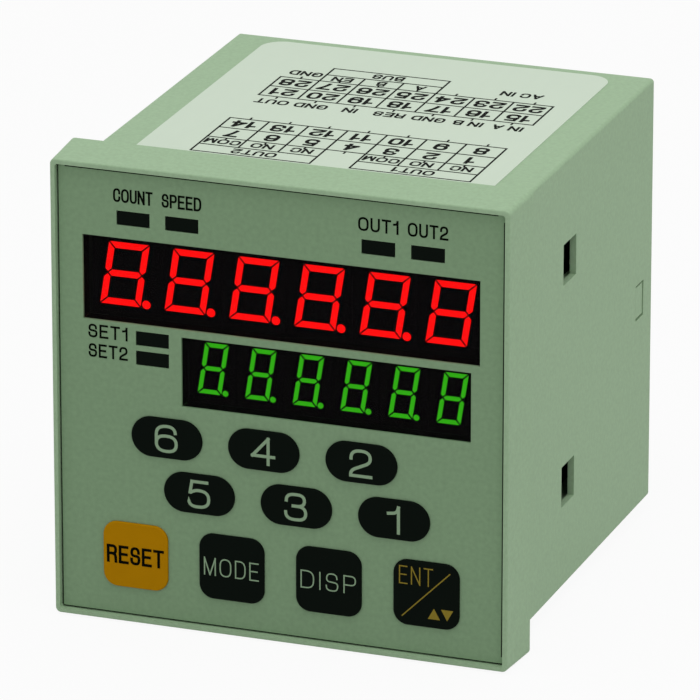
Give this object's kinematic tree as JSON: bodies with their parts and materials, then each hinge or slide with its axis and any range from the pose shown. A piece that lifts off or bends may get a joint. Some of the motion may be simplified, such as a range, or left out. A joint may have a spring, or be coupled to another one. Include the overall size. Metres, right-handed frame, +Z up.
{
  "type": "panel counter",
  "caption": "Square flush-mount panel counter: moulded case behind a front flange, film keypad, red and green digit displays, lamps and screw terminals at the rear.",
  "frame": {"origin": "centre of the panel plane, which is the rear face of the front flange", "axes": "+X to the right seen from the front, +Y into the panel, +Z up"},
  "size_m": [0.072, 0.0841, 0.072],
  "materials": {
    "case_plastic": "moulded, fine matt grain",
    "overlay_film": "printed polyester film, satin",
    "smoked_acrylic": "smoked clear",
    "label_film": "printed film label",
    "red_display": "cast resin in a dark housing",
    "green_display": "cast resin in a dark housing",
    "lamp_lens": "dark lens",
    "switch_plastic": "moulded",
    "plunger_plastic": "moulded",
    "board_laminate": "solder resist on glass laminate",
    "screw_steel": "zinc plated",
    "terminal_brass": "plated brass",
    "core_iron": "varnished laminations",
    "coil_wire": "taped winding",
    "capacitor_can": "sleeved can",
    "relay_plastic": "moulded",
    "black_moulding": "moulded",
    "terminal_plastic": "moulded"
  },
  "bodies": {
    "counter": {"case": "case_plastic", "front_overlay": "overlay_film", "red_window": "smoked_acrylic", "green_window": "smoked_acrylic", "top_label": "label_film", "red_digit_1": "red_display", "red_digit_2": "red_display", "red_digit_3": "red_display", "red_digit_4": "red_display", "red_digit_5": "red_display", "red_digit_6": "red_display", "green_digit_1": "green_display", "green_digit_2": "green_display", "green_digit_3": "green_display", "green_digit_4": "green_display", "green_digit_5": "green_display", "green_digit_6": "green_display", "indicator_lamp_1": "lamp_lens", "indicator_lamp_2": "lamp_lens", "indicator_lamp_3": "lamp_lens", "indicator_lamp_4": "lamp_lens", "indicator_lamp_5": "lamp_lens", "indicator_lamp_6": "lamp_lens", "key_switch_1": "switch_plastic", "key_switch_2": "switch_plastic", "key_switch_3": "switch_plastic", "key_switch_4": "switch_plastic", "key_switch_5": "switch_plastic", "key_switch_6": "switch_plastic", "key_switch_7": "switch_plastic", "key_switch_8": "switch_plastic", "key_switch_9": "switch_plastic", "key_switch_10": "switch_plastic", "display_board": "board_laminate", "board_screws": "screw_steel", "power_board": "board_laminate", "logic_board": "board_laminate", "board_connectors": "black_moulding", "terminal_board": "board_laminate", "transformer_core": "core_iron", "transformer_coil": "coil_wire", "main_capacitor": "capacitor_can", "output_relay_1": "relay_plastic", "output_relay_2": "relay_plastic", "processor_chip": "black_moulding", "rear_cover": "case_plastic", "upper_terminal_block": "terminal_plastic", "lower_terminal_block": "terminal_plastic", "terminal_plates": "terminal_brass", "terminal_screws": "screw_steel"},
    "six_key": {"key_plunger_1": "plunger_plastic"},
    "four_key": {"key_plunger_2": "plunger_plastic"},
    "two_key": {"key_plunger_3": "plunger_plastic"},
    "five_key": {"key_plunger_4": "plunger_plastic"},
    "three_key": {"key_plunger_5": "plunger_plastic"},
    "one_key": {"key_plunger_6": "plunger_plastic"},
    "reset_key": {"key_plunger_7": "plunger_plastic"},
    "mode_key": {"key_plunger_8": "plunger_plastic"},
    "display_key": {"key_plunger_9": "plunger_plastic"},
    "enter_key": {"key_plunger_10": "plunger_plastic"}
  },
  "joints": [
    {"name": "six_key_press", "type": "slide", "parent": "counter", "child": "six_key", "axis": [0, 1, 0], "range_m": [0, 0.00025], "stiffness_N_per_m": 8000},
    {"name": "four_key_press", "type": "slide", "parent": "counter", "child": "four_key", "axis": [0, 1, 0], "range_m": [0, 0.00025], "stiffness_N_per_m": 8000},
    {"name": "two_key_press", "type": "slide", "parent": "counter", "child": "two_key", "axis": [0, 1, 0], "range_m": [0, 0.00025], "stiffness_N_per_m": 8000},
    {"name": "five_key_press", "type": "slide", "parent": "counter", "child": "five_key", "axis": [0, 1, 0], "range_m": [0, 0.00025], "stiffness_N_per_m": 8000},
    {"name": "three_key_press", "type": "slide", "parent": "counter", "child": "three_key", "axis": [0, 1, 0], "range_m": [0, 0.00025], "stiffness_N_per_m": 8000},
    {"name": "one_key_press", "type": "slide", "parent": "counter", "child": "one_key", "axis": [0, 1, 0], "range_m": [0, 0.00025], "stiffness_N_per_m": 8000},
    {"name": "reset_key_press", "type": "slide", "parent": "counter", "child": "reset_key", "axis": [0, 1, 0], "range_m": [0, 0.00025], "stiffness_N_per_m": 8000},
    {"name": "mode_key_press", "type": "slide", "parent": "counter", "child": "mode_key", "axis": [0, 1, 0], "range_m": [0, 0.00025], "stiffness_N_per_m": 8000},
    {"name": "display_key_press", "type": "slide", "parent": "counter", "child": "display_key", "axis": [0, 1, 0], "range_m": [0, 0.00025], "stiffness_N_per_m": 8000},
    {"name": "enter_key_press", "type": "slide", "parent": "counter", "child": "enter_key", "axis": [0, 1, 0], "range_m": [0, 0.00025], "stiffness_N_per_m": 8000}
  ]
}
